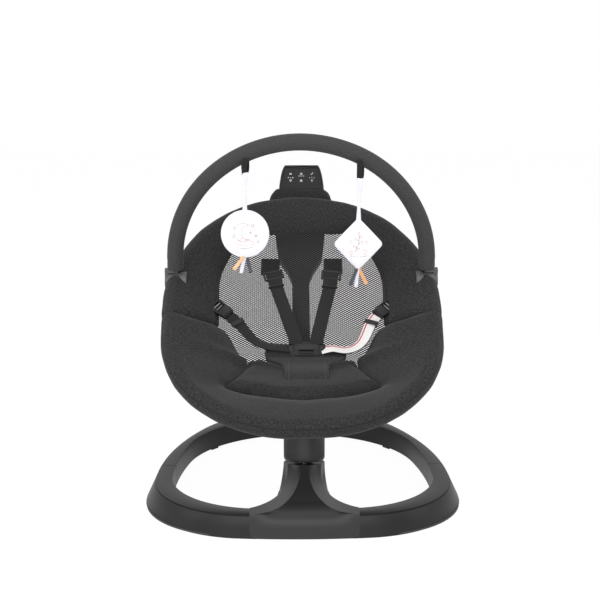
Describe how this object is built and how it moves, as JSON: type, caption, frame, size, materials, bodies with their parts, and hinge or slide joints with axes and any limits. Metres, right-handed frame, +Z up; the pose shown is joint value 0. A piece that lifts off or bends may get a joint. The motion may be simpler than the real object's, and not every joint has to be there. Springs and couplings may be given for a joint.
{
  "type": "baby swing",
  "caption": "Reclined fabric baby seat with a padded rim, harness and toy arch, turning on a leaning column that stands on an oval floor ring.",
  "frame": {"origin": "on the floor, under the middle of the bounding box, which is close to the middle of the floor ring", "axes": "+Z up, -Y the front of the swing where the child's feet are, +X to the right as seen from the front"},
  "size_m": [0.572, 0.6116, 0.6557],
  "materials": {
    "ring_plastic": "fine moulded grain, satin",
    "cover_plastic": "fine moulded grain, satin",
    "plate_plastic": "moulded, matt",
    "foot_rubber": "soft, matt",
    "steel": "turned",
    "zinc_steel": "zinc plated",
    "coil_copper": "enamelled wire",
    "circuit_board": "solder mask",
    "bush_plastic": "acetal, natural",
    "frame_metal": "powder coat",
    "tube_alloy": "drawn tube",
    "shell_plastic": "fine grain",
    "panel_plastic": "polished",
    "lens_plastic": "gloss",
    "speaker_card": "pressed cone in a plastic basket",
    "charcoal_fabric": "melange weave",
    "mesh_fabric": "open spacer mesh",
    "webbing": "woven webbing",
    "buckle_plastic": "satin",
    "toy_fabric": "printed plush",
    "ribbon": "satin ribbon"
  },
  "bodies": {
    "base": {"base_ring_front": "ring_plastic", "base_ring_rear": "ring_plastic", "base_bottom_front": "plate_plastic", "base_bottom_rear": "plate_plastic", "ring_splices": "plate_plastic", "feet": "foot_rubber", "base_screws": "zinc_steel", "power_jack": "plate_plastic", "pedestal_front_cover": "cover_plastic", "pedestal_rear_cover": "cover_plastic", "column_frame": "frame_metal", "shaft_bushes": "bush_plastic", "drive_coil": "coil_copper", "drive_board": "circuit_board"},
    "carrier": {"swing_shaft": "steel", "upper_sleeve": "cover_plastic", "drive_arm": "frame_metal", "hub_bracket": "frame_metal", "recline_pin": "steel"},
    "recline_release": {"recline_button": "shell_plastic"},
    "seat": {"spine": "shell_plastic", "spine_head_front": "shell_plastic", "spine_head_rear": "shell_plastic", "frame_tube_front": "tube_alloy", "frame_tubes_side": "tube_alloy", "frame_tube_head": "tube_alloy", "front_saddle": "shell_plastic", "front_roll": "charcoal_fabric", "side_rolls": "charcoal_fabric", "head_roll": "charcoal_fabric", "seat_cushion": "charcoal_fabric", "mesh_panel": "mesh_fabric", "head_pad": "charcoal_fabric", "bolster_left": "charcoal_fabric", "bolster_right": "charcoal_fabric", "head_collar": "shell_plastic", "control_head_front": "panel_plastic", "control_head_rear": "shell_plastic", "control_lens": "lens_plastic", "control_board": "circuit_board", "speaker": "speaker_card", "side_hubs": "shell_plastic", "bar_pins": "steel", "shoulder_straps": "webbing", "waist_straps": "webbing", "shoulder_adjusters": "buckle_plastic", "side_release_buckles": "buckle_plastic", "crotch_pad": "charcoal_fabric", "harness_buckle": "buckle_plastic"},
    "toy_bar": {"bar_ends": "shell_plastic", "toy_bar_tube": "tube_alloy", "toy_bar_cover": "charcoal_fabric", "toy_loops": "webbing"},
    "toy_left": {"toy_strap_left": "webbing", "round_toy": "toy_fabric", "toy_ribbons_left": "ribbon"},
    "toy_right": {"toy_strap_right": "webbing", "diamond_toy": "toy_fabric", "toy_ribbons_right": "ribbon"},
    "harness_release": {"buckle_button": "buckle_plastic"}
  },
  "joints": [
    {"name": "swing", "type": "hinge", "parent": "base", "child": "carrier", "pos_m": [0, -0.173, 0.101], "axis": [0, 0.1736, 0.9848], "range_deg": [-12, 12]},
    {"name": "recline", "type": "hinge", "parent": "carrier", "child": "seat", "pos_m": [0, -0.16258, 0.16009], "axis": [-1, 0, 0], "range_deg": [0, 15]},
    {"name": "recline_release_press", "type": "slide", "parent": "carrier", "child": "recline_release", "axis": [0, -0.9848, 0.1736], "range_m": [0, 0.003], "stiffness_N_per_m": 600, "springref_m": -0.001},
    {"name": "toy_bar_tilt", "type": "hinge", "parent": "seat", "child": "toy_bar", "pos_m": [0, 0.057, 0.37336], "axis": [1, 0, 0], "range_deg": [-15, 40]},
    {"name": "toy_left_swing", "type": "hinge", "parent": "toy_bar", "child": "toy_left", "pos_m": [-0.104, 0.00076, 0.58594], "axis": [1, 0, 0], "range_deg": [-35, 35]},
    {"name": "toy_right_swing", "type": "hinge", "parent": "toy_bar", "child": "toy_right", "pos_m": [0.104, 0.00076, 0.58594], "axis": [1, 0, 0], "range_deg": [-35, 35]},
    {"name": "harness_release_press", "type": "slide", "parent": "seat", "child": "harness_release", "axis": [0, 0.6947, -0.7193], "range_m": [0, 0.0025], "stiffness_N_per_m": 600, "springref_m": -0.001}
  ]
}
